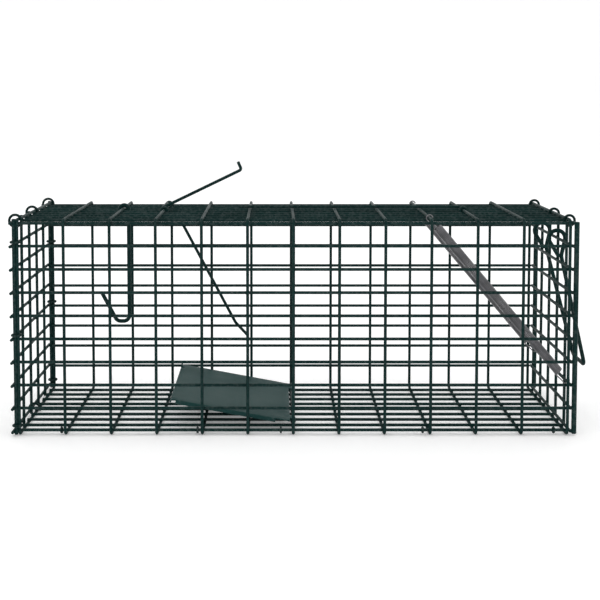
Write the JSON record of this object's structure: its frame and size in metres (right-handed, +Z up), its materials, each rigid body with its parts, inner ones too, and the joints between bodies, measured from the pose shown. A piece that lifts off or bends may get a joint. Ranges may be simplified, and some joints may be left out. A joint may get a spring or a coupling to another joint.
{
  "type": "live catch trap",
  "caption": "Green wire-mesh live catch trap with a sprung end door, bail, roof rod, trip lever, bait hook and tilting treadle plate.",
  "frame": {"origin": "on the ground, at the centre of the footprint of the whole part at rest, bail and end rings included", "axes": "+X along the cage from the closed rear panel to the sprung door, +Y from the front side to the back side, +Z up"},
  "size_m": [0.513, 0.1822, 0.231],
  "materials": {
    "green_mesh_wire": "satin powder coat over welded steel wire",
    "green_door_wire": "satin powder coat over welded steel wire",
    "green_side_rod": "satin powder coat over steel rod",
    "green_lever_wire": "satin powder coat over bent steel wire",
    "green_closing_ring": "satin powder coat over bent steel wire",
    "green_sheet": "satin powder coat over sheet steel",
    "spring_steel": "bright drawn spring wire"
  },
  "bodies": {
    "cage": {"front_uprights": "green_mesh_wire", "back_uprights": "green_mesh_wire", "roof_cross_wires": "green_mesh_wire", "floor_cross_wires": "green_mesh_wire", "ring_corner_bends": "green_mesh_wire", "front_long_wires": "green_mesh_wire", "back_long_wires": "green_mesh_wire", "roof_long_wires": "green_mesh_wire", "floor_long_wires": "green_mesh_wire", "seam_wire": "green_mesh_wire", "seam_clips": "green_closing_ring", "rear_panel_uprights": "green_mesh_wire", "rear_panel_posts": "green_mesh_wire", "rear_panel_cross_wires": "green_mesh_wire", "rear_panel_top_rings": "green_closing_ring", "rear_panel_floor_ring": "green_closing_ring", "rear_panel_post_clips": "green_closing_ring", "door_hinge_rings": "green_closing_ring", "treadle_hinge_rod": "green_mesh_wire"},
    "door": {"door_uprights": "green_door_wire", "door_side_rods": "green_side_rod", "door_cross_wires": "green_door_wire", "door_hinge_wire": "green_door_wire"},
    "bail": {"bail": "green_lever_wire"},
    "hold_down_rod": {"hold_down_rod": "green_lever_wire"},
    "trip_lever": {"trip_lever": "green_lever_wire"},
    "bait_hook": {"bait_hook": "green_lever_wire"},
    "treadle": {"treadle_plate": "green_sheet"},
    "near_spring": {"near_spring_coil": "spring_steel"},
    "near_spring_end": {"near_spring_lower_hook": "spring_steel"},
    "far_spring": {"far_spring_coil": "spring_steel"},
    "far_spring_end": {"far_spring_lower_hook": "spring_steel"}
  },
  "joints": [
    {"name": "door_swing", "type": "hinge", "parent": "cage", "child": "door", "pos_m": [0.2255, 0, 0.1835], "axis": [0, -1, 0], "range_deg": [0, 98], "stiffness_Nm_per_rad": 0.5, "springref_deg": -57.3},
    {"name": "bail_swing", "type": "hinge", "parent": "door", "child": "bail", "pos_m": [0.2255, 0, 0.1635], "axis": [0, -1, 0], "range_deg": [0, 150.5]},
    {"name": "hold_down_rod_swing", "type": "hinge", "parent": "cage", "child": "hold_down_rod", "pos_m": [0.1443, 0, 0.186], "axis": [0, 1, 0], "range_deg": [0, 100]},
    {"name": "trip_lever_swing", "type": "hinge", "parent": "cage", "child": "trip_lever", "pos_m": [-0.1301, 0, 0.186], "axis": [0, -1, 0], "range_deg": [-22.5, 30]},
    {"name": "bait_hook_swing", "type": "hinge", "parent": "cage", "child": "bait_hook", "pos_m": [-0.1693, 0, 0.186], "axis": [0, -1, 0], "range_deg": [-15, 15]},
    {"name": "treadle_tilt", "type": "hinge", "parent": "cage", "child": "treadle", "pos_m": [-0.0125, 0, 0.0058], "axis": [0, 1, 0], "range_deg": [-9.5, 5]},
    {"name": "near_spring_swing", "type": "hinge", "parent": "cage", "child": "near_spring", "pos_m": [0.1051, -0.0684, 0.186], "axis": [0, -1, 0], "range_deg": [0, 53.96]},
    {"name": "near_spring_stretch", "type": "slide", "parent": "near_spring", "child": "near_spring_end", "axis": [0.6454, 0, -0.7639], "range_m": [0, 0.07354], "deforming": ["near_spring_coil", "near_spring_lower_hook"]},
    {"name": "far_spring_swing", "type": "hinge", "parent": "cage", "child": "far_spring", "pos_m": [0.1051, 0.0684, 0.186], "axis": [0, -1, 0], "range_deg": [0, 53.96]},
    {"name": "far_spring_stretch", "type": "slide", "parent": "far_spring", "child": "far_spring_end", "axis": [0.6454, 0, -0.7639], "range_m": [0, 0.07354], "deforming": ["far_spring_coil", "far_spring_lower_hook"]}
  ],
  "couplings": [
    {"joint": "near_spring_swing", "follows": "door_swing", "ratio": 0.54649},
    {"joint": "near_spring_stretch", "follows": "door_swing", "m_per_rad": 0.042703},
    {"joint": "far_spring_swing", "follows": "door_swing", "ratio": 0.54649},
    {"joint": "far_spring_stretch", "follows": "door_swing", "m_per_rad": 0.042703}
  ]
}
